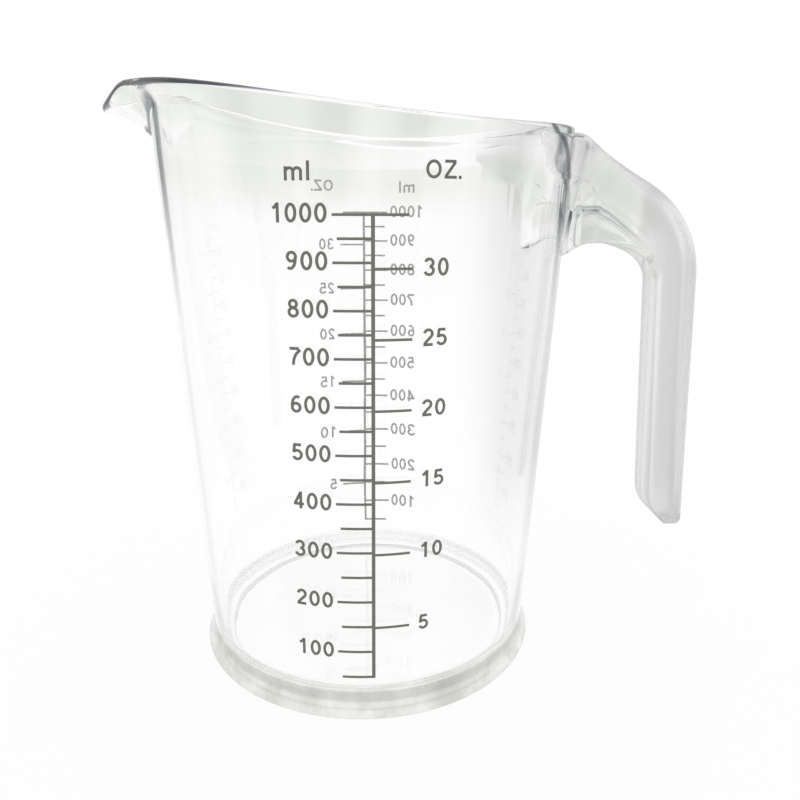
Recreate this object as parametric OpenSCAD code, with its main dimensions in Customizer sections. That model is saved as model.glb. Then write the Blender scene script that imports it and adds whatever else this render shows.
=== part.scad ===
// Measuring jug of one litre in clear moulded plastic. Millimetres, Z up.
// The jug stands on Z = 0 with its axis on Z. The spout points to -X, the handle
// to +X, and the printed scales are at -Y and +Y.

/* [Body] */
// Outside radius that the wall would have at the table
base_r = 47.7; // [46.5:0.1:49]
// Outside radius of the wall at the level of the rim
rim_r = 59.3; // [58:0.1:61]
// Height of the rim at its lowest, beside the handle
rim_h = 149.8; // [146:0.1:154]
// Wall thickness, measured level
wall_t = 2.2; // [1.8:0.1:2.6]

/* [Floor and foot] */
// Thickness of the floor
floor_t = 2; // [1.6:0.1:2.6]
// Height of the floor's underside above the table
recess_h = 1.8; // [1.2:0.1:2.4]
// Radius of the corner between floor and wall, inside
corner_r = 6; // [3:0.25:8]
// Reach of the foot past the wall, at the table
foot_out = 2.3; // [1.2:0.1:3.5]
// Height of the foot's flare
foot_h = 8; // [6:0.25:10]
// Width of the foot where it touches the table
foot_w = 5.2; // [4:0.1:6]

/* [Rim and spout] */
// Thickness of the rim at its rounded edge
edge_t = 1.7; // [1.4:0.1:2.2]
// Rise of the rim from its lowest level up to the spout
spout_rise = 13.2; // [8:0.1:16]
// Rise of the rim from its lowest level up to the handle
handle_rise = 2.3; // [0:0.1:4]
// Depth of the notch that the water runs over at the tip
notch_d = 5.1; // [1:0.1:7]
// Reach of the spout's tip past the flared lip
spout_reach = 12.1; // [8:0.1:16]
// Reach of the flared lip past the wall
lip_reach = 2.5; // [1:0.1:4]
// Height of the lip's crease above the rim's lowest level, at the sides
crease_h = 1.2; // [0:0.1:3]
// Rise of the lip's crease from the sides up to the spout
crease_rise = 4.9; // [2:0.1:6]
// Depth of the spout's keel below the lip's crease
keel_d = 10; // [6:0.25:14]

/* [Handle] */
// Reach of the handle's outer face past the wall at the rim
handle_out = 41.7; // [38:0.1:48]
// Height of the handle's lower end above the table
grip_z = 28.7; // [20:0.1:45]
// Width of the grip
grip_w = 13.2; // [11:0.1:16]
// Depth of the grip, from its outer to its inner face
grip_d = 13.7; // [12:0.1:16]
// Half width of the flare where it runs out on the rim
flare_w = 40; // [32:0.25:44]
// Half width of the web under the flare, measured in line with the flare's ends
web_w = 29; // [22:0.25:31]
// Depth of the web's lower edge below the lowest level of the rim
web_d = 30; // [26:0.25:36]
// Thickness of the arm above the roof of the hollow
roof_t = 20.6; // [16:0.1:24]
// Half width of the hollow at the wall
hollow_w = 13.9; // [9:0.1:15]
// Thickness of the web beside the hollow
web_t = 2.6; // [2:0.1:3.6]

/* [Printed scale] */
// Depth of the highest mark, for a full litre, below the lowest level of the rim
full_d = 21.5; // [16:0.1:40]
// Width of the upright line
line_w = 0.88; // [0.5:0.02:1.5]
// Width of a mark's stroke
mark_w = 0.62; // [0.3:0.02:1]
// Reach of the long marks from the upright line's middle
long_mark = 9; // [8.2:0.1:12]
// Reach of the short marks from the upright line's middle
short_mark = 7.95; // [4:0.05:8.15]
// Thickness of the print
ink_t = 0.12; // [0.08:0.02:0.3]

/* [Hidden] */
$fn = 120;

clear = [0.88, 0.92, 0.92, 0.5];
frosted = [0.74, 0.76, 0.70, 0.9];
ink = [0.36, 0.35, 0.33];

// One overrun serves every cut.
over = 1;

// The wall leans outward at an even rate.
slope = (rim_r - base_r) / rim_h;
function wall_at(z) = base_r + slope * z;
function inner_at(z) = wall_at(z) - wall_t;
function clamp01(t) = min(1, max(0, t));
// A rounded rise: 1 at zero, running out to 0 at the half width.
function hump(a, half) = abs(a) >= half ? 0 : (1 + cos(180 * a / half)) / 2;

// Rim and spout
// All sizes of the rim follow the angle a from the spout: 0 at its tip, 180 at
// the handle. The rim is lowest at saddle_a.
saddle_a = 118;
notch_a = 16;
keel_a = 24;
beak_a = 35;
beak_round_a = 4;
spout_a = 32;
// Height of the plain collar between the wall and the lowest point of the keel.
collar_h = 2;
crease_z = rim_h + crease_h;
split_z = crease_z + crease_rise - keel_d - collar_h;

function front(a) = a < 90 ? pow(cos(a), 2) : 0;
function edge_z(a) = rim_h + spout_rise * hump(a, saddle_a)
    + handle_rise * hump(180 - a, 180 - saddle_a) - notch_d * hump(a, notch_a);
function beak(a) = pow(clamp01(1 - (norm([a, beak_round_a]) - beak_round_a) / beak_a), 2.8);
function reach(a) = spout_reach * beak(a) + lip_reach * front(a);
function flare_z(a) = crease_z + crease_rise * front(a) - keel_d * hump(a, keel_a);

// Middle line of the rim's section, at a share t of its height.
function mid_z(a, t) = split_z + (edge_z(a) - edge_t / 2 - split_z) * t;
function lip_share(a, z) = let (top = edge_z(a) - edge_t / 2)
    clamp01((z - flare_z(a)) / max(edge_t, top - flare_z(a)));
function curl(t) = 0.66 * t + 0.34 * pow(t, 8);
function mid(a, t) = let (z = mid_z(a, t))
    [wall_at(z) - wall_t / 2 + reach(a) * curl(lip_share(a, z)), z];
function half_t(t) = (wall_t + (edge_t - wall_t) * t) / 2;
function lean(a, t) = t == 0 ? 0 :
    let (p = mid(a, t - 0.02), q = mid(a, min(1, t + 0.02))) atan2(q[0] - p[0], q[1] - p[1]);

// Steps along the section are closer where the lip curls.
section_shares = [0, 0.2, 0.38, 0.52, 0.64, 0.74, 0.82, 0.89, 0.95, 1];
cap_turns = [36, 72, 108, 144];
function face(a, t, side) = mid(a, t) + side * half_t(t) * [cos(lean(a, t)), -sin(lean(a, t))];
function rim_section(a) = concat(
    [for (t = section_shares) face(a, t, 1)],
    [for (c = cap_turns) let (w = lean(a, 1) - c) mid(a, 1) + half_t(1) * [cos(w), -sin(w)]],
    [for (i = [len(section_shares) - 1:-1:0]) face(a, section_shares[i], -1)]);

// A closed solid through a row of loops that have the same count of points.
module loft(loops) {
    n = len(loops[0]);
    rows = len(loops);
    polyhedron([for (l = loops) each l], concat(
        [for (i = [0:rows - 2], j = [0:n - 1])
            let (a = i * n + j, b = i * n + (j + 1) % n) each [[a, b, b + n], [a, b + n, a + n]]],
        [[for (j = [n - 1:-1:0]) j], [for (j = [0:n - 1]) (rows - 1) * n + j]]),
        convexity = 10);
}

// The rim's section taken through the turns g, counted from the spout's tip.
module rim_arc(turns) {
    loft([for (g = turns) [for (p = rim_section(min(abs(g), 360 - g)))
        [-p[0] * cos(g), -p[0] * sin(g), p[1]]]]);
}

module rim() {
    color(clear) rim_arc([for (g = [spout_a:4:360 - spout_a]) g]);
}

module spout() {
    color(clear) rim_arc([for (g = [-spout_a:2:spout_a]) g]);
}

// Wall, floor and foot
floor_z = recess_h + floor_t;
wall_lean = atan(slope);
// Middle of the inside corner, which is tangent to the floor and to the wall.
corner_c = [inner_at(floor_z + corner_r) - corner_r / cos(wall_lean), floor_z + corner_r];
// Radius of the foot's edge at the table.
foot_edge = 0.8;
foot_r = base_r + foot_out;

module wall() {
    color(clear) rotate_extrude() polygon([
        [wall_at(foot_h), foot_h], [wall_at(split_z), split_z],
        [inner_at(split_z), split_z], [inner_at(foot_h), foot_h]]);
}

module floor() {
    color(clear) rotate_extrude() polygon(concat(
        [[0, recess_h], [inner_at(recess_h), recess_h]],
        [for (i = [0:9]) let (w = -wall_lean - (90 - wall_lean) * i / 9)
            corner_c + corner_r * [cos(w), sin(w)]],
        [[0, floor_z]]));
}

// The foot flares out to the table in a hollow sweep, given from the table up as
// shares of the flare's reach and height.
flare_shares = [[0.84, 0.17], [0.56, 0.3], [0.36, 0.44], [0.22, 0.58], [0.12, 0.72], [0.05, 0.86]];
module foot_ring() {
    inner = foot_r - foot_w;
    color(frosted) rotate_extrude() polygon(concat(
        [[inner, 0]],
        [for (w = [-90:30:0]) [foot_r - foot_edge + foot_edge * cos(w),
            foot_edge + foot_edge * sin(w)]],
        [for (s = flare_shares) let (z = foot_h * s[1])
            [wall_at(z) + (foot_r - wall_at(z)) * s[0], z]],
        [[wall_at(foot_h), foot_h], [inner_at(foot_h), foot_h],
         [inner_at(recess_h), recess_h], [inner, recess_h]]));
}

// Handle
// The handle's outer line runs level over the wall, bends down, falls straight,
// bends again and runs down the grip. The bends' radii and the slope of the fall:
root_bend_r = 14;
grip_bend_r = 27;
fall_a = 36;
// Size of the inner bend, from the web's lower edge to the grip's inner face.
inner_bend_w = 20;
inner_bend_h = 12;
// The web's lower edge drops into a fillet where it meets the wall.
web_drop = 3.3;
web_drop_l = 7;
// Length over which the flare narrows to the grip's width.
flare_l = 40;
// The flare's ends run out along the wall: how far proud of it they lie, over
// what length they rise out of it, and how far inside it the arm's solid starts.
flare_lip = 0.6;
flare_ramp = 8;
flare_in = 3;
// Depth over which the flare's underside sweeps in to the web.
sweep_d = 26;
// Crown of the outer face, on the grip and on the flare.
crown_h = 4;
flare_crown_h = 1.8;
// Radius of the lower edges, and the ledge where the bar meets the web.
edge_r = 1.4;
ledge = 0.5;
// Rounding of the lower end at its inner face, and its outer corner.
toe_h = 14.3;
toe_d = 8;
heel_r = 2.5;
toe_round = 2.2;
// Roof of the hollow: where it starts to fall, its whole fall and its corners.
hollow_level_w = 22;
hollow_fall = 15;
hollow_r = 4;

handle_x = rim_r + handle_out;
arm_z = edge_z(180);
web_z = rim_h - web_d;
hollow_z = arm_z - roof_t;
flare_x = sqrt(pow(wall_at(rim_h), 2) - pow(flare_w, 2));
inner_x = handle_x - grip_d;
joint_z = web_z - inner_bend_h;

// Ends of the straight fall.
fall_1 = [rim_r + root_bend_r * sin(fall_a), arm_z - root_bend_r * (1 - cos(fall_a))];
fall_2_x = handle_x - grip_bend_r * (1 - sin(fall_a));
fall_2 = [fall_2_x, fall_1[1] - (fall_2_x - fall_1[0]) * tan(fall_a)];
grip_c = [handle_x - grip_bend_r, fall_2[1] - grip_bend_r * cos(fall_a)];

function under_z(x) = web_z - web_drop * hump(max(0, x - rim_r + web_drop_l), web_drop_l * 1.6);
function inner_bend(i) = let (w = 90 - 90 * i / 12)
    [inner_x - inner_bend_w * (1 - cos(w)), web_z - inner_bend_h * (1 - sin(w))];

// Stations along the arm: a point of the outer line, the point of the underside
// that it is joined to, and the slope of the outer line there.
level_n = 10;
stations = concat(
    [for (i = [0:level_n]) let (x = flare_x - flare_in
            + (rim_r - flare_x + flare_in) * i / level_n)
        [[x, arm_z], [x, under_z(x)], 0]],
    [for (i = [1:4]) let (w = fall_a * i / 4,
            x = rim_r + (inner_x - inner_bend_w - rim_r) * i / 4)
        [[rim_r + root_bend_r * sin(w), arm_z - root_bend_r * (1 - cos(w))],
         [x, under_z(x)], w]],
    [for (i = [1:5]) [fall_1 + (fall_2 - fall_1) * i / 5, inner_bend(i), fall_a]],
    [for (i = [1:6]) let (w = fall_a + (90 - fall_a) * i / 6)
        [grip_c + grip_bend_r * [sin(w), cos(w)], inner_bend(5 + i), w]],
    [[[handle_x, joint_z], inner_bend(12), 90]]);

// Half widths seen from above.
function narrowing(x) = pow(clamp01(1 - (x - flare_x) / flare_l), 1.75);
function run_out(x) = let (r = rim_r + flare_lip * min(1, (x - flare_x) / flare_ramp))
    sqrt(max(0, r * r - x * x));
function flare_half(x) = max(run_out(x), grip_w / 2 + (flare_w - grip_w / 2) * narrowing(x));
function web_half(x) = grip_w / 2 + (web_w - grip_w / 2) * narrowing(x);
function side_half(x, drop) = web_half(x)
    + (flare_half(x) - web_half(x)) * hump(drop, sweep_d);

// One section of the handle between the points p and q. The bar is the part near
// the outer line, and a ledge parts it from the web.
crown_turns = [0, 20, 40, 60, 76, 90];
bar_shares = [0.2, 0.4, 0.6, 0.8, 1];
web_shares = [0, 0.3, 0.65, 1];
function bar_section(p, q, w, trim = 0) = let (
    d = norm(q - p), dir = (q - p) / d,
    crown = min(crown_h + (flare_crown_h - crown_h) * narrowing(p[0]), d * 0.4),
    r = min(edge_r, d * 0.15),
    bar = min(grip_d / max(0.5, -dir * [sin(w), cos(w)]), d - 3 * r),
    step = ledge * clamp01((d - 3 * r - bar) / inner_bend_h),
    low = side_half(q[0], d - crown) - step,
    half = concat(
        [for (c = crown_turns) let (e = crown * (1 - cos(c)))
            [side_half(p[0] + dir[0] * e, 0) * sin(c), e]],
        [for (s = bar_shares) let (e = crown + (bar - crown) * s)
            [side_half(p[0] + dir[0] * e, e - crown), e]],
        [for (s = web_shares) let (e = bar + 0.3 * r + (d - 1.3 * r - bar) * s)
            [side_half(p[0] + dir[0] * e, e - crown) - step, e]],
        [[low - 0.3 * r, d - 0.3 * r], [low - r, d]]),
    n = len(half))
    [for (i = [0:2 * n - 2]) let (h = i < n ? half[i] : half[2 * n - 1 - i],
            s = p + dir * h[1])
        let (y = max(0, h[0] - trim * h[0] * 2 / grip_w)) [s[0], i < n ? y : -y, s[1]]];

// The space inside the wall's outer face, cut from what is fixed to it.
module wall_cutter() {
    top = rim_h + spout_rise;
    translate([0, 0, -over]) cylinder(h = top + 2 * over, r1 = wall_at(-over), r2 = wall_at(top + over));
}

// The hollow is open below and is closed by the wall on the jug's side.
hollow_steps = [0, 0.12, 0.24, 0.36, 0.48, 0.6, 0.72, 0.84, 0.94, 1];
module hollow() {
    start = flare_x - flare_in;
    end = inner_x - over;
    level = inner_x - hollow_level_w;
    loft([for (s = hollow_steps) let (x = start + (end - start) * s,
            half = min(hollow_w, web_half(x) - web_t), r = min(hollow_r, half * 0.8),
            z = hollow_z - hollow_fall * pow(max(0, x - level) / hollow_level_w, 1.35))
        concat([[x, -half, joint_z]],
            [for (c = [0:22.5:90]) [x, r * (1 - cos(c)) - half, z - r * (1 - sin(c))]],
            [for (c = [90:-22.5:0]) [x, half - r * (1 - cos(c)), z - r * (1 - sin(c))]],
            [[x, half, joint_z]])]);
}

module handle_arm() {
    color(clear) difference() {
        loft([for (s = stations) bar_section(s[0], s[1], s[2])]);
        wall_cutter();
        hollow();
    }
}

// Levels of the grip's sections, as shares of its straight part and of its toe.
grip_shares = [0, 0.25, 0.5, 0.75];
toe_shares = [1, 0.82, 0.66, 0.5, 0.36, 0.24, 0.15, 0.08, 0.03, 0];
module handle_grip() {
    toe_z = grip_z + toe_h;
    levels = concat([for (s = grip_shares) joint_z + (toe_z - joint_z) * s],
        [for (s = toe_shares) grip_z + toe_h * s]);
    color(clear) loft([for (z = levels) let (
            rise = z - grip_z, low = max(0, heel_r - rise), tip = max(0, toe_round - rise),
            trim = toe_round - sqrt(pow(toe_round, 2) - pow(tip, 2)),
            outer = handle_x - heel_r + sqrt(pow(heel_r, 2) - pow(low, 2)),
            inner = inner_x + toe_d * pow(clamp01(1 - rise / toe_h), 1.7))
        bar_section([outer, z], [inner, z], 90, trim)]);
}

// Printed scales
// The marks stand at even steps of the volume above the floor, of which the
// litre at full_z is the whole. The print lies on the wall's outer face.
ml_steps = 20;
oz_marks = 6;
// Five fluid ounces as a share of a litre.
oz_share = 0.147868;
full_z = rim_h - full_d;
function mark_z(share) = let (r0 = inner_at(floor_z), r1 = inner_at(full_z),
    r = pow(pow(r0, 3) + share * (pow(r1, 3) - pow(r0, 3)), 1 / 3))
    floor_z + (r - r0) / slope;

module skin() {
    rotate_extrude() polygon([
        [wall_at(floor_z), floor_z], [wall_at(floor_z) + ink_t, floor_z],
        [wall_at(split_z) + ink_t, split_z], [wall_at(split_z), split_z]]);
}

// A block through the near wall, from x0 to x1 and over a height about z.
module block(x0, x1, z0, z1) {
    translate([x0, -rim_r, z0]) cube([x1 - x0, rim_r, z1 - z0]);
}

module line() {
    color(ink) intersection() {
        skin();
        block(-line_w / 2, line_w / 2, mark_z(1 / ml_steps) - mark_w / 2, full_z + mark_w / 2);
    }
}

module ml_marks() {
    color(ink) intersection() {
        skin();
        union() {
            for (i = [1:ml_steps]) let (z = mark_z(i / ml_steps))
                block(i % 2 == 0 ? -long_mark : -short_mark, -line_w / 2,
                    z - mark_w / 2, z + mark_w / 2);
            block(line_w / 2, short_mark, full_z - mark_w / 2, full_z + mark_w / 2);
        }
    }
}

module oz_marks() {
    color(ink) intersection() {
        skin();
        for (i = [1:oz_marks]) let (z = mark_z(i * oz_share))
            block(line_w / 2, long_mark, z - mark_w / 2, z + mark_w / 2);
    }
}

wall();
floor();
foot_ring();
rim();
spout();
handle_arm();
handle_grip();
line();  // front_line
ml_marks();  // front_ml_marks
oz_marks();  // front_oz_marks
rotate([0, 0, 180]) line();  // back_line
rotate([0, 0, 180]) ml_marks();  // back_ml_marks
rotate([0, 0, 180]) oz_marks();  // back_oz_marks
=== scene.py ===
from math import atan, atan2, cos, hypot, pi, radians, sin, sqrt, tan

import bmesh
import bpy
from mathutils import Matrix, Vector


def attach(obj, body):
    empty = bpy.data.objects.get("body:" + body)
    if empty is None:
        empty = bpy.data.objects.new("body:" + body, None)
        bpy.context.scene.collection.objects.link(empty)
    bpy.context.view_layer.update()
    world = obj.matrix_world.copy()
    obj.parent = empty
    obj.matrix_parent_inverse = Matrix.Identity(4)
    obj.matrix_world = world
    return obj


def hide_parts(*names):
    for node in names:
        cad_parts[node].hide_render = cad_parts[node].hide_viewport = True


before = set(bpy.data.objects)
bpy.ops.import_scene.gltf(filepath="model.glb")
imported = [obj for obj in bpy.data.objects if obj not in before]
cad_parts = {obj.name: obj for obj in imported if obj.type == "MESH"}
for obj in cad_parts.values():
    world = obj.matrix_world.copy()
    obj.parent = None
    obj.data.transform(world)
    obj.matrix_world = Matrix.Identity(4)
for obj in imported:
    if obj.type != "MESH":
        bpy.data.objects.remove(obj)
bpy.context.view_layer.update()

# All sizes below are in millimetres, in the frame of the solids: Z up on the
# jug's axis, the spout at -X, the handle at +X, a printed scale at -Y and +Y.
MM = 0.001

# The form
base_r, rim_r, rim_h, wall_t = 47.7, 59.3, 149.8, 2.2
floor_t, recess_h, corner_r = 2.0, 1.8, 6.0
foot_r, foot_h, foot_w, foot_edge, foot_power = 50.0, 8.0, 5.2, 0.8, 2.3
edge_t, spout_rise, handle_rise, notch_d = 1.7, 13.2, 2.3, 5.1
spout_reach, lip_reach, crease_h, crease_rise, keel_d = 12.1, 2.5, 1.2, 4.9, 10.0
collar_h = 2.0

# How far the rim's forms run to each side of their middle, in degrees
spout_turn, handle_turn, notch_turn, keel_turn, fillet_turn = 118, 62, 16, 24, 40
beak_turn, beak_round, beak_power = 35, 4, 2.8
# The shares of the rim's reach that come evenly and in its last curl, and the softness of the keel's fillet
even_share, curl_share, curl_power, fillet_share = 0.66, 0.34, 8, 0.5

# The numbers of steps along the vessel's section and all round it
rim_steps, edge_steps, corner_steps, foot_steps, sole_steps, round_steps = 26, 8, 10, 12, 4, 480
# Levels and radii between them where the section has a point
wall_levels, low_level, floor_ring, recess_ring = (30, 60, 90, 120, 138), 12, 20, 30

slope = (rim_r - base_r) / rim_h
lean_wall = atan(slope)
crease_z = rim_h + crease_h
split_z = crease_z + crease_rise - keel_d - collar_h
floor_z = recess_h + floor_t


def wall_at(z):
    """The wall's outer radius at a height."""
    return base_r + slope * z


def inner_at(z):
    return wall_at(z) - wall_t


def hump(a, half):
    """A rounded rise: 1 at zero, running out to 0 at the half width."""
    return 0.0 if abs(a) >= half else (1 + cos(pi * a / half)) / 2


def quarter(steps, first=0):
    """The angles of a quarter turn in even steps."""
    return [pi / 2 * k / steps for k in range(first, steps + 1)]


# The rim's sizes follow the angle a from the spout's tip, in degrees.
def front(a):
    return cos(radians(a)) ** 2 if a < 90 else 0.0


def edge_z(a):
    rise = spout_rise * hump(a, spout_turn) + handle_rise * hump(180 - a, handle_turn)
    return rim_h + rise - notch_d * hump(a, notch_turn)


def reach(a):
    """How far the rim stands out over the wall's line."""
    beak = max(0.0, 1 - (hypot(a, beak_round) - beak_round) / beak_turn) ** beak_power
    return spout_reach * beak + lip_reach * front(a)


def flare_z(a):
    """Where the rim starts to stand out, lowest at the keel."""
    return crease_z + crease_rise * front(a) - keel_d * hump(a, keel_turn)


def mid_point(a, t):
    """A point of the rim's middle line, at a share t of its height."""
    top = edge_z(a) - edge_t / 2
    z = split_z + (top - split_z) * t
    s = min(1.0, max(0.0, (z - flare_z(a)) / max(edge_t, top - flare_z(a))))
    soft = fillet_share * hump(a, fillet_turn)
    s = s * s * (1 + soft) / (s + soft) if s > 0 else 0.0
    return wall_at(z) - wall_t / 2 + reach(a) * (even_share * s + curl_share * s ** curl_power), z


def rim_face(a, t, turn):
    """A point of the rim's surface: turn 0 is outside, pi inside, between them the rounded edge."""
    near = 0.02
    r0, z0 = mid_point(a, max(0.0, t - near))
    r1, z1 = mid_point(a, min(1.0, t + near))
    lean = lean_wall if t == 0 else atan2(r1 - r0, z1 - z0)
    r, z = mid_point(a, t)
    half = (wall_t + (edge_t - wall_t) * t) / 2
    return r + half * cos(lean - turn), z - half * sin(lean - turn)


def vessel_line(a):
    """The vessel's section at the angle a, from the floor's middle up inside and down outside."""
    up = [k / rim_steps for k in range(rim_steps + 1)]
    centre_r = inner_at(floor_z + corner_r) - corner_r / cos(lean_wall)
    centre_z = floor_z + corner_r
    flat_end, above_foot = centre_r - 2, foot_h + 0.4
    line = [(0, floor_z), (floor_ring, floor_z), (flat_end, floor_z)]
    for k in range(corner_steps + 1):
        w = -pi / 2 + (pi / 2 - lean_wall) * k / corner_steps
        line.append((centre_r + corner_r * cos(w), centre_z + corner_r * sin(w)))
    line += [(inner_at(z), z) for z in wall_levels]
    line += [rim_face(a, t, pi) for t in up]
    line += [rim_face(a, 1, pi * (1 - k / edge_steps)) for k in range(1, edge_steps)]
    line += [rim_face(a, t, 0) for t in reversed(up)]
    line += [(wall_at(z), z) for z in (*reversed(wall_levels), low_level, above_foot)]
    for k in range(foot_steps + 1):
        s = 1 - k / foot_steps
        z = foot_edge + (foot_h - foot_edge) * s
        line.append((wall_at(z) + (foot_r - wall_at(z)) * (1 - s) ** foot_power, z))
    line += [(foot_r - foot_edge * (1 - cos(w)), foot_edge * (1 - sin(w))) for w in quarter(sole_steps, 1)]
    # The foot's inner edge and the recess's corner are softened by half a millimetre.
    inner, soft = foot_r - foot_w, 0.5
    line += [(inner + soft, 0), (inner + 0.3 * soft, 0.3 * soft), (inner, soft)]
    line += [(inner - 0.2 * soft, recess_h - 0.6 * soft), (inner - soft, recess_h)]
    return line + [(recess_ring, recess_h), (0, recess_h)]


# The handle, from the side: its outer line runs level, bends, falls straight,
# bends again and runs down the grip. The widths of flare, web and hollow are
# half widths.
grip_z, grip_w, grip_d, web_d, roof_t = 30.0, 13.2, 13.7, 30.0, 20.6
flare_w, web_w, hollow_w, web_t = 40.0, 29.0, 13.9, 2.6
root_bend_r, grip_bend_r, fall = 4.0, 32.0, radians(29.5)
bend_w, bend_h, flare_l, sweep_d, flare_power = 20.0, 12.0, 40.0, 26.0, 1.75
toe_h, toe_d, heel_r, toe_round, toe_power = 11.5, 6.0, 2.5, 2.2, 2.3
crown_h, root_drop, grip_taper, handle_reach = 4.0, 0.6, 1.3, 41.7
# The root starts inside the wall. The flare's edge stands off the wall, and
# the web's underside dips beside the wall.
root_in, flare_off, flare_off_l = 3, 0.6, 8
dip_h, dip_in, dip_l = 3.3, 7, 11.2
# The shares of a short section's depth that its crown and its lower edges may take, the radius of these
# edges, and the step in from the bar to the web
crown_share, under_share, under_r, step_w = 0.4, 0.15, 1.4, 0.5
# The hollow's roof has rounded edges and comes down towards the hollow's end.
hollow_r, hollow_fall, hollow_fall_l, hollow_power = 4, 15, 22, 1.35

arm_z = edge_z(180)
handle_x = rim_r + handle_reach
inner_x = handle_x - grip_d
web_z, hollow_z = rim_h - web_d, arm_z - roof_t
root_z = arm_z - root_drop
joint_z = web_z - bend_h
flare_x = sqrt(rim_r ** 2 - flare_w ** 2)
root_start = flare_x - root_in
fall_1 = Vector((rim_r + root_bend_r * sin(fall), root_z - root_bend_r * (1 - cos(fall))))
fall_2 = Vector((handle_x - grip_bend_r * (1 - sin(fall)), 0))
fall_2.y = fall_1.y - (fall_2.x - fall_1.x) * tan(fall)
grip_c = Vector((handle_x - grip_bend_r, fall_2.y - grip_bend_r * cos(fall)))

# The numbers of steps along the handle and the hollow, and along a section of each
level_steps, root_steps, fall_steps, bend_steps, grip_steps, toe_steps = 18, 8, 10, 13, 8, 20
crown_steps, bar_steps, web_steps, under_steps = 12, 8, 6, 4
hollow_steps, roof_steps = 30, 8


def narrowing(x):
    """1 where the handle leaves the wall, running out to 0 along the flare."""
    return min(1.0, max(0.0, 1 - (x - flare_x) / flare_l)) ** flare_power


def web_half(x):
    return grip_w / 2 + (web_w - grip_w / 2) * narrowing(x)


def flare_half(x):
    r = rim_r + flare_off * min(1.0, (x - flare_x) / flare_off_l)
    return max(sqrt(max(0.0, r * r - x * x)), grip_w / 2 + (flare_w - grip_w / 2) * narrowing(x))


def side_half(x, drop):
    """The half width at a drop below the crown: the flare's at the top, sweeping in to the web's."""
    return web_half(x) + (flare_half(x) - web_half(x)) * hump(drop, sweep_d)


def under_z(x):
    return web_z - dip_h * hump(max(0.0, x - rim_r + dip_in), dip_l)


def handle_stations():
    """Points of the outer line, each with its point of the underside, its slope and the width's trim."""
    found = []
    for k in range(level_steps + 1):
        x = root_start + (rim_r - flare_x + root_in) * k / level_steps
        found.append((Vector((x, root_z)), Vector((x, under_z(x))), 0, 0))
    for k in range(1, root_steps + 1):
        w = fall * k / root_steps
        x = rim_r + (inner_x - bend_w - rim_r) * k / root_steps
        outer = Vector((rim_r + root_bend_r * sin(w), root_z - root_bend_r * (1 - cos(w))))
        found.append((outer, Vector((x, under_z(x))), w, 0))
    low_steps = fall_steps + bend_steps + 1
    for k in range(1, low_steps + 1):
        w = pi / 2 * (1 - k / low_steps)
        low = Vector((inner_x - bend_w * (1 - cos(w)), web_z - bend_h * (1 - sin(w))))
        if k <= fall_steps:
            found.append((fall_1.lerp(fall_2, k / fall_steps), low, fall, 0))
        elif k < low_steps:
            g = fall + (pi / 2 - fall) * (k - fall_steps) / bend_steps
            found.append((grip_c + grip_bend_r * Vector((sin(g), cos(g))), low, g, 0))
        else:
            found.append((Vector((handle_x, joint_z)), low, pi / 2, 0))
    levels = [joint_z + (grip_z + toe_h - joint_z) * k / grip_steps for k in range(1, grip_steps + 1)]
    crowding = 1.5
    levels += [grip_z + toe_h * (1 - k / toe_steps) ** crowding for k in range(1, toe_steps + 1)]
    for z in levels:
        rise = z - grip_z
        outer = handle_x - heel_r + sqrt(heel_r ** 2 - max(0, heel_r - rise) ** 2)
        inner = inner_x + grip_taper * (joint_z - z) / (joint_z - grip_z)
        inner += toe_d * max(0, 1 - rise / toe_h) ** toe_power
        trim = toe_round - sqrt(toe_round ** 2 - max(0, toe_round - rise) ** 2)
        found.append((Vector((outer, z)), Vector((inner, z)), pi / 2, trim))
    return found


def handle_section(p, q, slope_at, trim):
    """One closed section of the handle between its outer line and its underside."""
    d = (q - p).length
    way = (q - p) / d
    crown = min(crown_h, d * crown_share)
    r = min(under_r, d * under_share)
    low, room, lead = d - r, 3 * r, 0.4 * r
    # The bar is as deep as the grip, measured square to the outer line, or at most twice as deep. A small
    # step leads from it to the web.
    square = max(0.5, -(way.x * sin(slope_at) + way.y * cos(slope_at)))
    bar = min(grip_d / square, d - room)
    step = step_w * min(1.0, max(0.0, (d - room - bar) / bend_h))

    def half_at(e):
        return side_half(p.x + way.x * e, max(0.0, e - crown))

    half = [(half_at(crown * (1 - cos(w))) * sin(w), crown * (1 - cos(w))) for w in quarter(crown_steps)]
    in_bar = [crown + (bar - crown) * k / bar_steps for k in range(1, bar_steps + 1)]
    half += [(half_at(e), e) for e in in_bar]
    in_web = [bar + lead + (low - bar - lead) * k / web_steps for k in range(web_steps + 1)]
    half += [(half_at(e) - step, e) for e in in_web]
    foot = half_at(low) - step
    half += [(foot - r * (1 - cos(w)), low + r * sin(w)) for w in quarter(under_steps, 1)]
    half = [(max(0.0, y - trim * 2 * y / grip_w), e) for y, e in half]
    whole = half + [(-y, e) for y, e in reversed(half[1:])]
    return [Vector((p.x + way.x * e, y, p.y + way.y * e)) for y, e in whole]


def hollow_section(s):
    """The hollow under the arm, open below, at a share s of its length."""
    end, level, edge_share = inner_x - 1, inner_x - hollow_fall_l, 0.8
    x = root_start + (end - root_start) * s
    half = min(hollow_w, web_half(x) - web_t)
    r = min(hollow_r, half * edge_share)
    z = hollow_z - hollow_fall * (max(0.0, x - level) / hollow_fall_l) ** hollow_power
    side = [(half, joint_z)]
    side += [(half - r * (1 - cos(w)), z - r * (1 - sin(w))) for w in quarter(roof_steps)]
    return [Vector((x, y, e)) for y, e in side + [(-y, e) for y, e in reversed(side)]]


# Mesh tools
merge_gap, ring_gap = 1e-7, 1e-6


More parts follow.
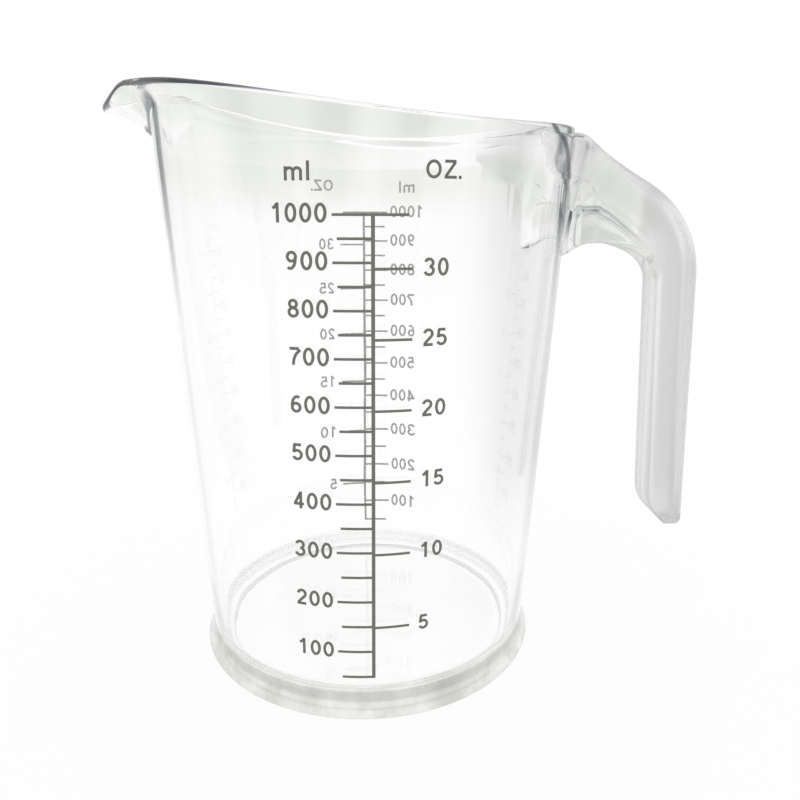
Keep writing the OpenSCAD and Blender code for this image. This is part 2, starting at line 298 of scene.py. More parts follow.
def sheet(lines, lines_closed, round_closed):
    """A skin through lines of points, its meeting edges merged and its open ends filled. Each line may close
    on itself, and the skin may close from the last line to the first."""
    bm = bmesh.new()
    rows, cols = len(lines), len(lines[0])
    across = rows if round_closed else rows - 1
    along = cols if lines_closed else cols - 1
    bmesh.ops.create_grid(bm, x_segments=across, y_segments=along, size=0.5)
    for v in bm.verts:
        i = round((v.co.x + 0.5) * across) % rows
        j = round((v.co.y + 0.5) * along) % cols
        v.co = lines[i][j] * MM
    bmesh.ops.remove_doubles(bm, verts=bm.verts, dist=merge_gap)
    bmesh.ops.holes_fill(bm, edges=[e for e in bm.edges if e.is_boundary], sides=0)
    bmesh.ops.recalc_face_normals(bm, faces=bm.faces)
    return bm


def mesh_object(name, bm):
    mesh = bpy.data.meshes.new(name)
    bm.to_mesh(mesh)
    bm.free()
    obj = bpy.data.objects.new(name, mesh)
    bpy.context.scene.collection.objects.link(obj)
    return obj


def combined(obj, other, operation):
    """Joins or cuts one solid with another and leaves the result in the first."""
    cut = obj.modifiers.new("combine", "BOOLEAN")
    cut.operation, cut.object, cut.solver = operation, other, "MANIFOLD"
    done = obj.evaluated_get(bpy.context.evaluated_depsgraph_get())
    mesh = bpy.data.meshes.new_from_object(done)
    obj.modifiers.clear()
    obj.data = mesh
    bpy.data.objects.remove(other)


# The moulding
def vessel_lines():
    """The vessel's sections all round it. Both sides of the jug share them."""
    sections = {}
    placed = []
    for i in range(round_steps):
        turn = 360 * i / round_steps
        a = min(turn, 360 - turn)
        if a not in sections:
            sections[a] = vessel_line(a)
        way = (-cos(radians(turn)), -sin(radians(turn)))
        placed.append([Vector((way[0] * r, way[1] * r, z)) for r, z in sections[a]])
    return placed


def wall_core(low, top):
    """The room inside the middle of the wall, from below the jug to above it."""
    bm = bmesh.new()
    bmesh.ops.create_cone(
        bm, cap_ends=True, segments=round_steps, depth=(top - low) * MM,
        radius1=(wall_at(low) - wall_t / 2) * MM, radius2=(wall_at(top) - wall_t / 2) * MM,
        matrix=Matrix.Translation((0, 0, (low + top) / 2 * MM)))
    return bm


moulding = mesh_object("moulding", sheet(vessel_lines(), False, True))
handle = mesh_object("handle", sheet([handle_section(*s) for s in handle_stations()], True, False))
hollow_lines = [hollow_section(k / hollow_steps) for k in range(hollow_steps + 1)]
combined(handle, mesh_object("hollow", sheet(hollow_lines, True, False)), "DIFFERENCE")
combined(handle, mesh_object("core", wall_core(low=-1, top=170)), "DIFFERENCE")
combined(moulding, handle, "UNION")


# The print
# Each numeral is drawn by its strokes on a field one unit high, as the
# printer's bold face has them: bars given by their ends, bows by centre, radii
# and the turn from one end to the other, in degrees anticlockwise from +X.
def bow(cx, cy, rx, ry, start, end, steps=20):
    turns = [radians(start + (end - start) * k / steps) for k in range(steps + 1)]
    return [(cx + rx * cos(w), cy + ry * sin(w)) for w in turns]


GLYPHS = {
    "0": [bow(0.32, 0.5, 0.235, 0.42, 0, 360)],
    "1": [[(0.38, 0.0), (0.38, 1.0)], [(0.12, 0.72), (0.24, 0.79), (0.36, 0.93)]],
    "2": [bow(0.32, 0.69, 0.225, 0.23, 170, -35) + [(0.28, 0.33), (0.11, 0.13)],
          [(0.04, 0.08), (0.58, 0.08)]],
    "3": [bow(0.30, 0.72, 0.215, 0.205, 165, -80), bow(0.30, 0.30, 0.24, 0.22, 85, -165)],
    "4": [[(0.43, 0.0), (0.43, 1.0)], [(0.02, 0.27), (0.60, 0.27)], [(0.09, 0.30), (0.41, 0.93)]],
    "5": [[(0.13, 0.91), (0.53, 0.91)], [(0.16, 0.95), (0.10, 0.46)],
          [(0.11, 0.52)] + bow(0.30, 0.33, 0.245, 0.25, 118, -155)],
    "6": [bow(0.32, 0.31, 0.225, 0.23, 0, 360), bow(0.38, 0.42, 0.28, 0.49, 62, 185)],
    "7": [[(0.05, 0.91), (0.56, 0.91)], bow(0.86, 0.02, 0.62, 0.86, 110, 180)],
    "8": [bow(0.31, 0.73, 0.195, 0.19, 0, 360), bow(0.31, 0.30, 0.235, 0.22, 0, 360)],
    "9": [bow(0.30, 0.69, 0.225, 0.23, 0, 360), bow(0.22, 0.58, 0.28, 0.49, -118, 5)],
    "m": [[(0.10, 0.0), (0.10, 0.72)], bow(0.32, 0.46, 0.20, 0.18, 165, 0) + [(0.52, 0.0)],
          bow(0.74, 0.46, 0.20, 0.18, 165, 0) + [(0.94, 0.0)]],
    "l": [[(0.10, 0.0), (0.10, 1.0)]],
    "O": [bow(0.43, 0.5, 0.35, 0.41, 0, 360, 32)],
    "Z": [[(0.06, 0.91), (0.70, 0.91)], [(0.66, 0.88), (0.10, 0.12)], [(0.04, 0.09), (0.74, 0.09)]],
    ".": [[(0.09, 0.0), (0.09, 0.18)]],
}
# From one letter's start to the next one's, the width of a numeral and of a stroke, for a height of 1
LETTER_STEPS = {"m": 1.22, "l": 0.40, "O": 1.00, "Z": 0.86, ".": 0.40}
NUMERAL_W, STROKE_W = 0.62, 0.158
ink_t = 0.12


def words(text, height, x, z, numeral_step=None):
    """A text's strokes, each with its width, in millimetres on the unrolled wall, from x to the right."""
    strokes = []
    for c in text:
        for stroke in GLYPHS[c]:
            points = [(x + px * height, z + pz * height) for px, pz in stroke]
            strokes.append((points, height * STROKE_W))
        x += LETTER_STEPS.get(c, numeral_step) * height
    return strokes


def printed(name, strokes, turned):
    """Ribbons of ink along the strokes, laid on the wall's outer face."""
    ribbons = bmesh.new()
    for width in sorted({w for _, w in strokes}):
        nib = bpy.data.curves.new("nib", "CURVE")
        nib_line = nib.splines.new("POLY")
        nib_line.points.add(3)
        for point, (u, v) in zip(nib_line.points, ((-1, 0), (1, 0), (1, 1), (-1, 1))):
            point.co = (u * width / 2, v * ink_t, 0, 1)
        nib_line.use_cyclic_u = True
        nib_object = bpy.data.objects.new("nib", nib)
        path = bpy.data.curves.new(name, "CURVE")
        path.dimensions, path.twist_mode = "3D", "Z_UP"
        path.bevel_mode, path.bevel_object, path.use_fill_caps = "OBJECT", nib_object, True
        for points in (p for p, w in strokes if w == width):
            first, last = points[0], points[-1]
            is_ring = hypot(first[0] - last[0], first[1] - last[1]) < ring_gap
            points = points[:-1] if is_ring else points
            line = path.splines.new("POLY")
            line.points.add(len(points) - 1)
            line.use_cyclic_u = is_ring
            for point, (u, v) in zip(line.points, points):
                point.co = (u, v, 0, 1)
        drawn = bpy.data.objects.new(name, path)
        bpy.context.scene.collection.objects.link(drawn)
        mesh = bpy.data.meshes.new_from_object(drawn.evaluated_get(bpy.context.evaluated_depsgraph_get()))
        ribbons.from_mesh(mesh)
        bpy.data.objects.remove(drawn)
        bpy.data.objects.remove(nib_object)
    side = 1 if turned else -1
    for v in ribbons.verts:
        z = v.co.y
        r = wall_at(z) + v.co.z
        w = v.co.x / wall_at(z)
        v.co = Vector((-side * r * sin(w), side * r * cos(w), z)) * MM
    bmesh.ops.remove_doubles(ribbons, verts=ribbons.verts, dist=merge_gap)
    bmesh.ops.recalc_face_normals(ribbons, faces=ribbons.faces)
    return mesh_object(name, ribbons)


# Marks stand at even steps of the volume inside, in shares of the litre: oz_share
# is five US fluid ounces. The litre mark lies full_drop below the wall's top.
full_drop, oz_share = 21.5, 0.147868
full_z = rim_h - full_drop


def mark_z(share):
    r0, r1 = inner_at(floor_z), inner_at(full_z)
    return floor_z + ((r0 ** 3 + share * (r1 ** 3 - r0 ** 3)) ** (1 / 3) - r0) / slope


def scale_strokes():
    """The numerals beside their marks, with the millilitres' right ends and the ounces' left ends in a row,
    and the two units above them."""
    ml_h, ml_end, ml_drop, ml_step = 4.4, -10.2, 1.8, 0.775
    oz_h, oz_start, oz_drop, oz_step = 4.2, 11.5, 1.75, 0.79
    strokes = []
    for k in range(1, 11):
        text = str(100 * k)
        start = ml_end - (ml_step * (len(text) - 1) + NUMERAL_W) * ml_h
        strokes += words(text, ml_h, start, mark_z(k / 10) - ml_drop, ml_step)
    for k in range(1, 7):
        strokes += words(str(5 * k), oz_h, oz_start, mark_z(k * oz_share) - oz_drop, oz_step)
    for text, height, start, rise in (("ml", 4.2, -19.7, 7.3), ("OZ.", 4.15, 11.7, 7.8)):
        strokes += words(text, height, start, full_z + rise)
    return strokes


numerals_front = printed("numerals_front", scale_strokes(), False)
numerals_back = printed("numerals_back", scale_strokes(), True)


# Materials
# The place of a Mix node's colour among its outputs
MIXED = 2


def linear(colour):
    """An sRGB hex colour as the linear colour that sockets take."""
    parts = [int(colour[k:k + 2], 16) / 255 for k in (1, 3, 5)]
    return [p / 12.92 if p <= 0.04045 else ((p + 0.055) / 1.055) ** 2.4 for p in parts] + [1]


def add(tree, kind, inputs=None, **settings):
    """A node with its settings, and its inputs as values or as links from other nodes' outputs."""
    made = tree.nodes.new(kind)
    for name, value in settings.items():
        setattr(made, name, value)
    for name, value in (inputs or {}).items():
        if isinstance(value, bpy.types.NodeSocket):
            tree.links.new(value, made.inputs[name])
        else:
            made.inputs[name].default_value = value
    return made


def set_stops(ramp, stops):
    """Gives a colour ramp its stops, each a share of the way and a hex colour."""
    elements = ramp.color_ramp.elements
    elements.remove(elements[1])
    elements[0].position, elements[0].color = stops[0][0], linear(stops[0][1])
    for share, colour in stops[1:]:
        elements.new(share).color = linear(colour)


def new_tree(name):
    made = bpy.data.materials.new(name)
    made.use_nodes = True
    made.node_tree.nodes.clear()
    return made, made.node_tree


def etched_skin(tree, radius, z):
    """1 on the outside and the underside of the foot, where the mould is etched, and 0 elsewhere."""
    etched_z, polished_z, etched_r = foot_h - 1.2, foot_h + 0.3, foot_r - foot_w + 0.4
    low = add(tree, "ShaderNodeMapRange", {
        "Value": z, "From Min": polished_z * MM, "From Max": etched_z * MM})
    wide = add(tree, "ShaderNodeMath", {0: radius, 1: etched_r * MM}, operation="GREATER_THAN")
    both = add(tree, "ShaderNodeMath", {
        0: low.outputs["Result"], 1: wide.outputs["Value"]}, operation="MULTIPLY")
    return both.outputs["Value"]


def depth_in_bar(tree, place, x):
    """How far a point lies inside the handle's bar, measured from the bar's inner line."""
    out, blend = (sin(fall), 0, cos(fall)), 4
    start = (fall_2.x * out[0] + fall_2.y * out[2] - grip_d) * MM
    along_fall = add(tree, "ShaderNodeVectorMath", {0: place, 1: out}, operation="DOT_PRODUCT")
    arm = add(tree, "ShaderNodeMath", {0: along_fall.outputs["Value"], 1: start}, operation="SUBTRACT")
    grip = add(tree, "ShaderNodeMath", {0: x, 1: inner_x * MM}, operation="SUBTRACT")
    deeper = add(tree, "ShaderNodeMath", {
        0: arm.outputs["Value"], 1: grip.outputs["Value"], 2: blend * MM}, operation="SMOOTH_MAX")
    return deeper.outputs["Value"]


def blasted_skin(tree, bar_depth, level_r, x):
    """1 on the handle's bar, where the mould is blasted, and 0 on its web and on the vessel."""
    bar_from, bar_full, wall_from, wall_full = -1.6, -0.4, base_r - 1.2, base_r - 0.6
    flare_from, flare_full = flare_x - 2, flare_x + 8
    on_bar = add(tree, "ShaderNodeMapRange", {
        "Value": bar_depth, "From Min": bar_from * MM, "From Max": bar_full * MM})
    off_wall = add(tree, "ShaderNodeMapRange", {
        "Value": level_r, "From Min": wall_from * MM, "From Max": wall_full * MM})
    past_flare = add(tree, "ShaderNodeMapRange", {
        "Value": x, "From Min": flare_from * MM, "From Max": flare_full * MM})
    off = add(tree, "ShaderNodeMath", {
        0: off_wall.outputs["Result"], 1: past_flare.outputs["Result"]}, operation="MULTIPLY")
    both = add(tree, "ShaderNodeMath", {
        0: on_bar.outputs["Result"], 1: off.outputs["Value"]}, operation="MULTIPLY")
    return both.outputs["Value"]


def surface_waves(tree, place, matt):
    """The long waves of the flowing melt, and on the foot the fine grit of the etched mould."""
    wave_size, wave_h, grit_size, grit_h = 14, 0.12, 1.2, 0.03
    tall = add(tree, "ShaderNodeMapping", {"Vector": place, "Scale": (1, 1, 0.25)})
    flow = add(tree, "ShaderNodeTexNoise", {
        "Vector": tall.outputs["Vector"], "Scale": 1 / (wave_size * MM), "Detail": 1.5})
    waves = add(tree, "ShaderNodeBump", {
        "Height": flow.outputs["Fac"], "Strength": 1.0, "Distance": wave_h * MM})
    grain = add(tree, "ShaderNodeTexNoise", {
        "Vector": place, "Scale": 1 / (grit_size * MM), "Detail": 2.0})
    grit = add(tree, "ShaderNodeBump", {
        "Height": grain.outputs["Fac"], "Strength": matt, "Distance": grit_h * MM,
        "Normal": waves.outputs["Normal"]})
    return grit.outputs["Normal"]


def outer_face(tree, level_r):
    """1 on the vessel's outer face and close to it, 0 on its inner face, the spout and the handle."""
    middle, either_side = base_r + 0.7, 1.8
    near = add(tree, "ShaderNodeMath", {
        0: level_r, 1: middle * MM, 2: either_side * MM}, operation="COMPARE")
    return near.outputs["Value"]


def wall_edge(tree, outside, z):
    """1 where the eye meets the vessel's outer face nearly edge on, most of all near the rim, else 0: where
    a dark reflection is painted.
    """
    low_z, high_z, low_share = 100, 140, 0.12
    starts, full, fades, ends = 0.72, 0.775, 0.82, 0.87
    upper = add(tree, "ShaderNodeMapRange", {
        "Value": z, "From Min": low_z * MM, "From Max": high_z * MM, "To Min": low_share, "To Max": 1.0})
    most = add(tree, "ShaderNodeMath", {0: upper.outputs["Result"], 1: outside}, operation="MULTIPLY")
    weight = add(tree, "ShaderNodeLayerWeight", {"Blend": 0.5})
    last = add(tree, "ShaderNodeMapRange", {
        "Value": weight.outputs["Facing"], "From Min": fades, "From Max": ends,
        "To Min": most.outputs["Value"], "To Max": 0.0}, interpolation_type="SMOOTHSTEP")
    edge = add(tree, "ShaderNodeMapRange", {
        "Value": weight.outputs["Facing"], "From Min": starts, "From Max": full,
        "To Min": 0.0, "To Max": last.outputs["Result"]}, interpolation_type="SMOOTHSTEP")
    return edge.outputs["Result"]


def painted_corner_shade(tree, outside, x, y, z):
    """1 in the corner where the handle's root leaves the wall on the -Y side, dark in the photograph: a
    painted shade line.
    """
    line_low, line_top, full_from = 119, 144.4, 138
    low_y, top_y, core_w, line_w, root_x = 19.3, 32.0, 0.8, 2.2, 44
    rise = add(tree, "ShaderNodeMapRange", {
        "Value": z, "From Min": line_low * MM, "From Max": line_top * MM}, clamp=False)
    curve = add(tree, "ShaderNodeMath", {0: rise.outputs["Result"], 1: 2.0}, operation="POWER")
    middle = add(tree, "ShaderNodeMath", {
        0: curve.outputs["Value"], 1: (top_y - low_y) * MM, 2: low_y * MM}, operation="MULTIPLY_ADD")
    off = add(tree, "ShaderNodeMath", {0: y, 1: middle.outputs["Value"]}, operation="ADD")
    off = add(tree, "ShaderNodeMath", {0: off.outputs["Value"]}, operation="ABSOLUTE")
    line = add(tree, "ShaderNodeMapRange", {
        "Value": off.outputs["Value"], "From Min": line_w * MM, "From Max": core_w * MM},
        interpolation_type="SMOOTHSTEP")
    at_root = add(tree, "ShaderNodeMath", {0: x, 1: root_x * MM}, operation="GREATER_THAN")
    at_root = add(tree, "ShaderNodeMath", {0: at_root.outputs["Value"], 1: outside}, operation="MULTIPLY")
    high = add(tree, "ShaderNodeMapRange", {
        "Value": z, "From Min": line_low * MM, "From Max": full_from * MM})
    there = add(tree, "ShaderNodeMath", {
        0: at_root.outputs["Value"], 1: high.outputs["Result"]}, operation="MULTIPLY")
    corner = add(tree, "ShaderNodeMath", {
        0: line.outputs["Result"], 1: there.outputs["Value"]}, operation="MULTIPLY")
    return corner.outputs["Value"]


def foot_tint(tree, place, y):
    """Cloudy grey-green patches round the front of the foot, one of them darker, fading to white towards the
    back.
    """
    cloud_size, white_back_from, white_back_to = 9, -18, 8
    dark_patch_at, dark_patch_r, dark_patch_core_r = (20 * MM, -46 * MM, 4 * MM), 8, 3
    cloud = add(tree, "ShaderNodeTexNoise", {
        "Vector": place, "Scale": 1 / (cloud_size * MM), "Detail": 5.0, "Roughness": 0.65})
    patches = add(tree, "ShaderNodeValToRGB", {"Fac": cloud.outputs["Fac"]})
    set_stops(patches, ((0.36, "#c4c6ba"), (0.60, "#eeefea")))
    # The patches fade to white towards the back.
    back = add(tree, "ShaderNodeMapRange", {
        "Value": y, "From Min": white_back_from * MM, "From Max": white_back_to * MM})
    towards_white_back = add(tree, "ShaderNodeMix", {
        "Factor": back.outputs["Result"], "A": patches.outputs["Color"], "B": linear("#ffffff")},
        data_type="RGBA")
    # One patch on the front of the foot is darker.
    away = add(tree, "ShaderNodeVectorMath", {0: place, 1: dark_patch_at}, operation="DISTANCE")
    dark_patch = add(tree, "ShaderNodeMapRange", {
        "Value": away.outputs["Value"], "From Min": dark_patch_r * MM, "From Max": dark_patch_core_r * MM,
        "To Max": cloud.outputs["Fac"]})
    foot = add(tree, "ShaderNodeMix", {
        "Factor": dark_patch.outputs["Result"], "A": towards_white_back.outputs[MIXED], "B": linear("#7d7f72")},
        data_type="RGBA")
    return foot.outputs[MIXED]


def bar_haze_and_painted_shade(tree, bar_depth, z):
    """Grey towards the bar's outer side, most of all round the upper bend, and clear at its inner edge:
    partly the blasted skin's haze, partly painted shade.
    """
    low_z, bend_z, clear_from, clear_to, smoky_from = 60, 105, -0.5, 4, 9
    bend = add(tree, "ShaderNodeMapRange", {"Value": z, "From Min": low_z * MM, "From Max": bend_z * MM})
    outer = add(tree, "ShaderNodeMix", {
        "Factor": bend.outputs["Result"], "A": linear("#b4b8b7"), "B": linear("#a8acac")},
        data_type="RGBA")
    inner_share = add(tree, "ShaderNodeMapRange", {
        "Value": bar_depth, "From Min": clear_from * MM, "From Max": clear_to * MM},
        interpolation_type="SMOOTHSTEP")
    inner = add(tree, "ShaderNodeMix", {
        "Factor": inner_share.outputs["Result"], "A": linear("#ffffff"), "B": linear("#eeefee")},
        data_type="RGBA")
    outer_share = add(tree, "ShaderNodeMapRange", {
        "Value": bar_depth, "From Min": smoky_from * MM, "From Max": grip_d * MM},
        interpolation_type="SMOOTHSTEP")
    bar = add(tree, "ShaderNodeMix", {
        "Factor": outer_share.outputs["Result"], "A": inner.outputs[MIXED], "B": outer.outputs[MIXED]},
        data_type="RGBA")
    return bar.outputs[MIXED]


def caught_tint(tree, x, y, z):
    """The colour of light caught inside the plastic: pale, but dark along the spout's lip and in bands at
    the handle's root."""
    tip_x, lip_end_x, low_z, high_z = -76, -20, 120, 130
    band_y, band_half, band_core, root_x, root_full_x = 15.5, 9, 6, 44, 48
    along = add(tree, "ShaderNodeMapRange", {"Value": x, "From Min": tip_x * MM, "From Max": lip_end_x * MM})
    lip = add(tree, "ShaderNodeValToRGB", {"Fac": along.outputs["Result"]})
    set_stops(lip, (
        (0.06, "#c8c8ce"), (0.11, "#63656c"), (0.2, "#303238"), (0.46, "#1e2126"), (0.68, "#454753"),
        (0.89, "#aaaab4"), (1.0, "#e2e3e2")))
    high = add(tree, "ShaderNodeMapRange", {"Value": z, "From Min": low_z * MM, "From Max": high_z * MM})
    tint = add(tree, "ShaderNodeMix", {
        "Factor": high.outputs["Result"], "A": linear("#e2e3e2"), "B": lip.outputs["Color"]},
        data_type="RGBA")
    side = add(tree, "ShaderNodeMath", {0: y}, operation="ABSOLUTE")
    off_band = add(tree, "ShaderNodeMath", {
        0: side.outputs["Value"], 1: band_y * MM}, operation="SUBTRACT")
    off_band = add(tree, "ShaderNodeMath", {0: off_band.outputs["Value"]}, operation="ABSOLUTE")
    band = add(tree, "ShaderNodeMapRange", {
        "Value": off_band.outputs["Value"], "From Min": band_half * MM, "From Max": band_core * MM})
    at_root = add(tree, "ShaderNodeMapRange", {
        "Value": x, "From Min": root_x * MM, "From Max": root_full_x * MM})
    root = add(tree, "ShaderNodeMath", {
        0: at_root.outputs["Result"], 1: high.outputs["Result"]}, operation="MULTIPLY")
    band = add(tree, "ShaderNodeMath", {
        0: band.outputs["Result"], 1: root.outputs["Value"]}, operation="MULTIPLY")
    tint = add(tree, "ShaderNodeMix", {
        "Factor": band.outputs["Value"], "A": tint.outputs[MIXED], "B": linear("#3a3f4e")},
        data_type="RGBA")
    return tint.outputs[MIXED]


def clear_moulded_san():
    """Styrene acrylonitrile, injection moulded: water clear and glossy where the mould is polished, with
    faint waves where the melt flowed. The mould is blasted where the hand holds the handle, a satin skin
    that looks smoky, greyer still with painted shade, and etched on the foot, a fine matt skin, cloudy and a
    little grey-green."""
    made, tree = new_tree("clear_moulded_SAN")
    polished, etched, blasted, mirrored, most_turns = 0.012, 0.38, 0.22, 0.5, 3.5
    place = add(tree, "ShaderNodeTexCoord").outputs["Object"]
    x, y, z = add(tree, "ShaderNodeSeparateXYZ", {"Vector": place}).outputs
    flat = add(tree, "ShaderNodeVectorMath", {0: place, 1: (1, 1, 0)}, operation="MULTIPLY")
    radius = add(tree, "ShaderNodeVectorMath", {0: flat.outputs["Vector"]}, operation="LENGTH")
    radius = radius.outputs["Value"]
    # The radius less what the wall's slope adds with height, so that it's base_r all over the outer face
    level_r = add(tree, "ShaderNodeMath", {0: z, 1: -slope, 2: radius}, operation="MULTIPLY_ADD")
    level_r = level_r.outputs["Value"]
    matt = etched_skin(tree, radius, z)
    bar_depth = depth_in_bar(tree, place, x)
    satin = blasted_skin(tree, bar_depth, level_r, x)
    outside = outer_face(tree, level_r)
    edge = wall_edge(tree, outside, z)
    # Painted reflection: the wall's tint turns grey-blue where it is seen nearly edge on.
    tint = add(tree, "ShaderNodeMix", {
        "Factor": edge, "A": linear("#ffffff"), "B": linear("#a8adb5")}, data_type="RGBA")
    tint = add(tree, "ShaderNodeMix", {
        "Factor": matt, "A": tint.outputs[MIXED], "B": foot_tint(tree, place, y)}, data_type="RGBA")
    # Painted shade, with the satin haze: the bar greys towards its outer side and upper bend.
    tint = add(tree, "ShaderNodeMix", {
        "Factor": satin, "A": tint.outputs[MIXED], "B": bar_haze_and_painted_shade(tree, bar_depth, z)}, data_type="RGBA")
    # Painted shade: a dark line in the corner where the handle's root leaves the wall.
    tint = add(tree, "ShaderNodeMix", {
        "Factor": painted_corner_shade(tree, outside, x, y, z), "A": tint.outputs[MIXED], "B": linear("#2a2f3e")},
        data_type="RGBA")
    rough = add(tree, "ShaderNodeMapRange", {"Value": matt, "To Min": polished, "To Max": etched})
    rough = add(tree, "ShaderNodeMath", {
        0: satin, 1: blasted, 2: rough.outputs["Result"]}, operation="MULTIPLY_ADD")
    plastic = add(tree, "ShaderNodeBsdfPrincipled", {
        "Base Color": tint.outputs[MIXED], "Roughness": rough.outputs["Value"], "IOR": 1.57,
        "Transmission Weight": 1.0, "Normal": surface_waves(tree, place, matt)})
    # Nearly edge on, a dark glow is painted on the wall as a reflection of the dark sides of a studio, which
    # this white room doesn't have.
    painted_edge_reflection = add(tree, "ShaderNodeEmission", {"Color": linear("#3c4048"), "Strength": 1.0})
    share = add(tree, "ShaderNodeMath", {0: edge, 1: mirrored}, operation="MULTIPLY")
    plastic = add(tree, "ShaderNodeMixShader", {
        0: share.outputs["Value"], 1: plastic.outputs["BSDF"], 2: painted_edge_reflection.outputs["Emission"]})
    # Light that the faces have mirrored to and fro inside the plastic comes out dim. Cycles cuts it off
    # black, so it has a tone of its own here.
    turns = add(tree, "ShaderNodeLightPath").outputs["Glossy Depth"]
    caught = add(tree, "ShaderNodeMath", {0: turns, 1: most_turns}, operation="GREATER_THAN")
    glow = add(tree, "ShaderNodeEmission", {"Color": caught_tint(tree, x, y, z), "Strength": 1.0})
    both = add(tree, "ShaderNodeMixShader", {
        0: caught.outputs["Value"], 1: plastic.outputs["Shader"], 2: glow.outputs["Emission"]})
    add(tree, "ShaderNodeOutputMaterial", {"Surface": both.outputs["Shader"]})
    return made


def screen_printed_ink():
    """Screen ink, a thin warm grey film. Its back, seen through the wall, is paler, because light shines
    through it."""
    made, tree = new_tree("screen_printed_ink")
    speckle_size, inward = 0.6, -0.01
    place = add(tree, "ShaderNodeTexCoord").outputs["Object"]
    outward = add(tree, "ShaderNodeVectorMath", {0: place, 1: (1, 1, 0)}, operation="MULTIPLY")
    normal = add(tree, "ShaderNodeNewGeometry").outputs["True Normal"]
    facing = add(tree, "ShaderNodeVectorMath", {
        0: outward.outputs["Vector"], 1: normal}, operation="DOT_PRODUCT")
    is_back = add(tree, "ShaderNodeMath", {0: facing.outputs["Value"], 1: inward}, operation="LESS_THAN")
    speckle = add(tree, "ShaderNodeTexNoise", {
        "Vector": place, "Scale": 1 / (speckle_size * MM), "Detail": 2.0})
    film = add(tree, "ShaderNodeMix", {
        "Factor": speckle.outputs["Fac"], "A": linear("#66665f"), "B": linear("#73746d")},
        data_type="RGBA")
    sides = add(tree, "ShaderNodeMix", {
        "Factor": is_back.outputs["Value"], "A": film.outputs[MIXED], "B": linear("#dededa")},
        data_type="RGBA")
    ink = add(tree, "ShaderNodeBsdfPrincipled", {"Base Color": sides.outputs[MIXED], "Roughness": 0.55})
    add(tree, "ShaderNodeOutputMaterial", {"Surface": ink.outputs["BSDF"]})
    return made


# Edges of the moulding that turn by more than this are drawn sharp.
sharp_turn = radians(32)
print_ink = screen_printed_ink()
moulding.data.materials.clear()
moulding.data.materials.append(clear_moulded_san())
for face in moulding.data.polygons:
    face.use_smooth = True
moulding.data.set_sharp_from_angle(angle=sharp_turn)
for piece in (numerals_front, numerals_back):
    piece.data.materials.append(print_ink)
for name in ("line", "ml_marks", "oz_marks"):
    for side in ("front", "back"):
        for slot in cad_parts[side + "_" + name].material_slots:
            slot.material = print_ink

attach(moulding, "root")
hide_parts("wall", "floor", "foot_ring", "rim", "spout", "handle_arm", "handle_grip")
for piece in (numerals_front, numerals_back):
    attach(piece, "root")


# The studio: a white table and a white room. What the jug bends or mirrors of them is a little greyer to
# the right behind it, where the light falls off, and above the table's far edge, where the wall behind is
# streaky.
camera_at = Vector((-4.9, -216.6, 129.5))


def light_fall(tree, vector, shift):
    """The light's level along a vector, shifted first: full but for a strip behind, to the right."""
    strip_starts, strip_full, strip_fades, strip_ends = 0.15, 0.29, 0.45, 0.7
    strip_level, behind_from = 0.76, 0.3
    moved = add(tree, "ShaderNodeVectorMath", {0: vector, 1: shift}, operation="ADD")
    level = add(tree, "ShaderNodeVectorMath", {
        0: moved.outputs["Vector"], 1: (1, 1, 0)}, operation="MULTIPLY")
    way = add(tree, "ShaderNodeVectorMath", {0: level.outputs["Vector"]}, operation="NORMALIZE")
    x, y, _ = add(tree, "ShaderNodeSeparateXYZ", {"Vector": way.outputs["Vector"]}).outputs
    near = add(tree, "ShaderNodeMapRange", {
        "Value": x, "From Min": strip_starts, "From Max": strip_full, "To Min": 1.0, "To Max": strip_level},
        interpolation_type="SMOOTHSTEP")
    far = add(tree, "ShaderNodeMapRange", {
        "Value": x, "From Min": strip_fades, "From Max": strip_ends,
        "To Min": near.outputs["Result"], "To Max": 1.0})
    behind = add(tree, "ShaderNodeMapRange", {
        "Value": y, "From Min": 0.0, "From Max": behind_from,
        "To Min": 1.0, "To Max": far.outputs["Result"]})
    return behind.outputs["Result"]


def through_or_off(tree):
    """1 for a ray that the object has bent or mirrored, and the light path's own outputs."""
    path = add(tree, "ShaderNodeLightPath")
    seen = add(tree, "ShaderNodeMath", {
        0: path.outputs["Is Glossy Ray"], 1: path.outputs["Is Transmission Ray"]}, operation="MAXIMUM")
    return seen.outputs["Value"], path.outputs


def pale_floor_paint():
    """A white table top that gives plain light. The camera sees a small share of it as lit paint, which
    keeps the jug's shadow."""
    made, tree = new_tree("pale_floor_paint")
    strip_from, strip_full, white_share = 20, 120, 0.94
    place = add(tree, "ShaderNodeTexCoord").outputs["Object"]
    seen, path = through_or_off(tree)
    y = add(tree, "ShaderNodeSeparateXYZ", {"Vector": place}).outputs["Y"]
    fallen = light_fall(tree, place, (-camera_at.x * MM, -camera_at.y * MM, 0))
    behind = add(tree, "ShaderNodeMapRange", {
        "Value": y, "From Min": strip_from * MM, "From Max": strip_full * MM,
        "To Min": 1.0, "To Max": fallen})
    level = add(tree, "ShaderNodeMapRange", {
        "Value": seen, "To Min": 1.0, "To Max": behind.outputs["Result"]})
    in_view = add(tree, "ShaderNodeMath", {0: path["Is Camera Ray"], 1: white_share}, operation="MULTIPLY")
    share = add(tree, "ShaderNodeMath", {0: seen, 1: in_view.outputs["Value"]}, operation="MAXIMUM")
    paint = add(tree, "ShaderNodeBsdfDiffuse", {"Color": linear("#f8f8f8")})
    white = add(tree, "ShaderNodeEmission", {
        "Color": linear("#ffffff"), "Strength": level.outputs["Result"]})
    both = add(tree, "ShaderNodeMixShader", {
        0: share.outputs["Value"], 1: paint.outputs["BSDF"], 2: white.outputs["Emission"]})
    add(tree, "ShaderNodeOutputMaterial", {"Surface": both.outputs["Shader"]})
    return made


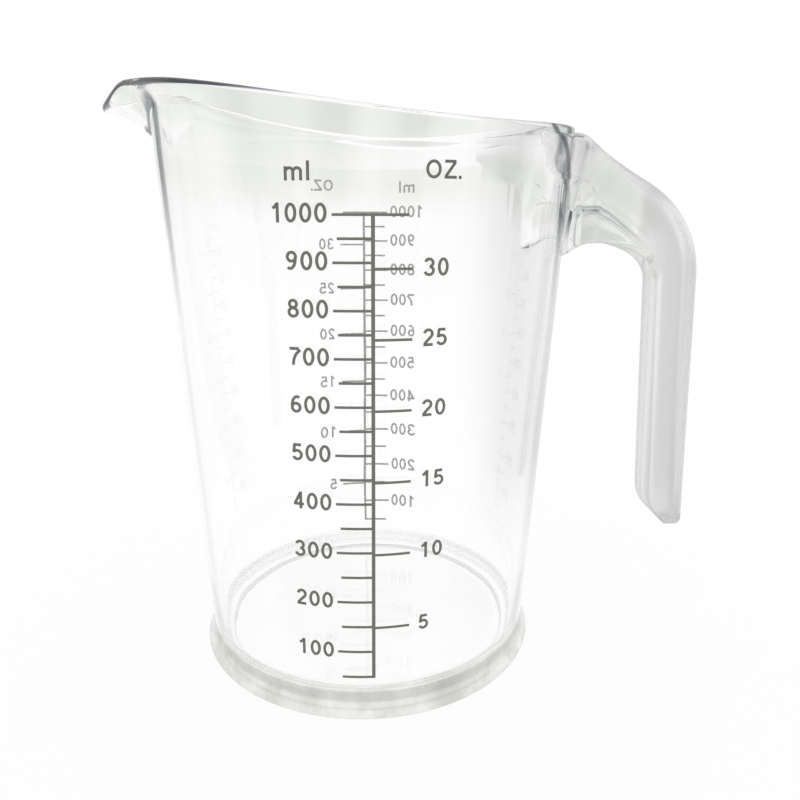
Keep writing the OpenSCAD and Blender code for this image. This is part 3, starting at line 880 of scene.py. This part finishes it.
def studio_light():
    """White all round. Only what the jug bends or mirrors has pale streaks above the horizon and a greyer
    strip."""
    made = bpy.data.worlds.new("studio_light")
    made.use_nodes = True
    tree = made.node_tree
    tree.nodes.clear()
    wall_low, wall_full = -0.03, 0.07
    way = add(tree, "ShaderNodeTexCoord").outputs["Generated"]
    z = add(tree, "ShaderNodeSeparateXYZ", {"Vector": way}).outputs["Z"]
    seen, _ = through_or_off(tree)
    tall = add(tree, "ShaderNodeMapping", {"Vector": way, "Scale": (1, 1, 0.12)})
    streaks = add(tree, "ShaderNodeTexNoise", {
        "Vector": tall.outputs["Vector"], "Scale": 9.0, "Detail": 1.0})
    streaky = add(tree, "ShaderNodeValToRGB", {"Fac": streaks.outputs["Fac"]})
    set_stops(streaky, ((0.40, "#dde0da"), (0.62, "#f2f4f0")))
    above = add(tree, "ShaderNodeMapRange", {
        "Value": z, "From Min": wall_low, "From Max": wall_full, "To Max": seen},
        interpolation_type="SMOOTHSTEP")
    colour = add(tree, "ShaderNodeMix", {
        "Factor": above.outputs["Result"], "A": linear("#ffffff"), "B": streaky.outputs["Color"]},
        data_type="RGBA")
    level = add(tree, "ShaderNodeMapRange", {
        "Value": seen, "To Min": 1.0, "To Max": light_fall(tree, way, (0, 0, 0))})
    sky = add(tree, "ShaderNodeBackground", {
        "Color": colour.outputs[MIXED], "Strength": level.outputs["Result"]})
    add(tree, "ShaderNodeOutputWorld", {"Surface": sky.outputs["Background"]})
    return made


# The camera stands in front of the printed scale, level with the litre mark,
# and looks a little down, as the photographer did. Its middle and its focal
# length are in pixels of the photograph, its angles in radians.
picture_size, centre_px, centre_py, focal_px = 800, 402.83, 325.6, 721.1
yaw, pitch, roll, sensor_w, clip_near = 0.0721, 0.1601, -0.0024, 36, 10


def photographer_view():
    ahead = Vector((sin(yaw) * cos(pitch), cos(yaw) * cos(pitch), -sin(pitch)))
    right = Vector((cos(yaw), -sin(yaw), 0))
    up = right.cross(ahead)
    right, up = right * cos(roll) - up * sin(roll), right * sin(roll) + up * cos(roll)
    view = Matrix((right, up, -ahead)).transposed().to_4x4()
    view.translation = camera_at * MM
    lens = bpy.data.cameras.new("camera")
    lens.sensor_width, lens.lens = sensor_w, sensor_w * focal_px / picture_size
    lens.shift_x = 0.5 - centre_px / picture_size
    lens.shift_y = centre_py / picture_size - 0.5
    lens.clip_start = clip_near * MM
    made = bpy.data.objects.new("camera", lens)
    made.matrix_world = view
    bpy.context.scene.collection.objects.link(made)
    return made


ground = bmesh.new()
bmesh.ops.create_grid(ground, x_segments=1, y_segments=1, size=3.0)
ground = mesh_object("studio_floor", ground)
ground.data.materials.append(pale_floor_paint())
bpy.context.scene.world = studio_light()
bpy.context.scene.camera = photographer_view()
bpy.context.scene.view_settings.view_transform = "Standard"
